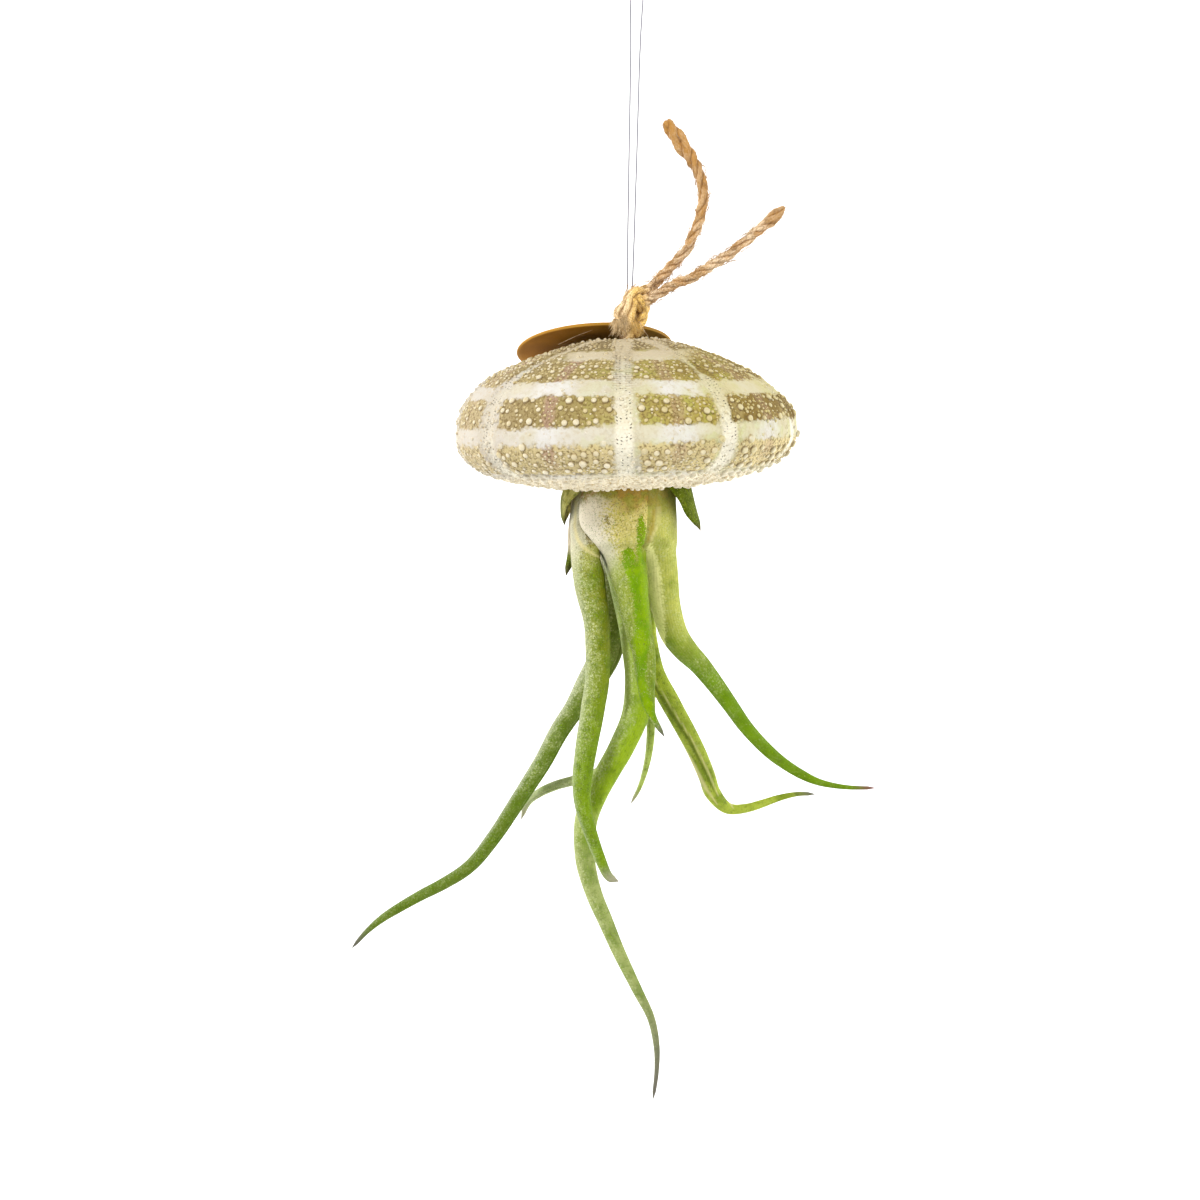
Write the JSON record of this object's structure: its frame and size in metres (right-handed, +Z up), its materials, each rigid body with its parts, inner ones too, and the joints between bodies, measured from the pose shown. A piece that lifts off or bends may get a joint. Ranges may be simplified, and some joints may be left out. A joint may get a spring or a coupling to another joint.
{
  "type": "hanging air plant in a sea urchin shell",
  "caption": "Medusa head air plant hung upside down in a sea urchin shell, so that its rolled leaves trail down like tentacles; knotted twine, card tag and a clear line",
  "frame": {"origin": "the bight of the clear line at the top, where it goes over its hook", "axes": "+Z up, +X to the right and +Y to the back as the plant is seen from its front; the line hangs down the Z axis"},
  "size_m": [0.134, 0.0857, 0.283],
  "materials": {
    "shell": "dry, chalky, banded olive and cream with cream tubercles",
    "card": "uncoated brown card",
    "twine": "hairy three-ply jute",
    "nylon": "clear and smooth",
    "stem": "dry and fibrous, with old leaf scars",
    "bract": "grey-green, scaly, with darker speckles",
    "leaf": "green under fine silver scales, paler at the sheath"
  },
  "bodies": {
    "root": {"urchin_shell": "shell", "card_tag": "card", "twine_knot": "twine", "twine_tail_long": "twine", "twine_tail_short": "twine", "hanging_line": "nylon", "plant_stem": "stem", "bract_small": "bract", "bract_left": "bract", "bract_right": "bract", "leaf_front": "leaf", "leaf_front_left": "leaf", "leaf_right": "leaf", "leaf_back_left": "leaf", "leaf_back": "leaf", "leaf_long": "leaf", "leaf_left_long": "leaf", "leaf_right_channelled": "leaf"}
  },
  "joints": []
}
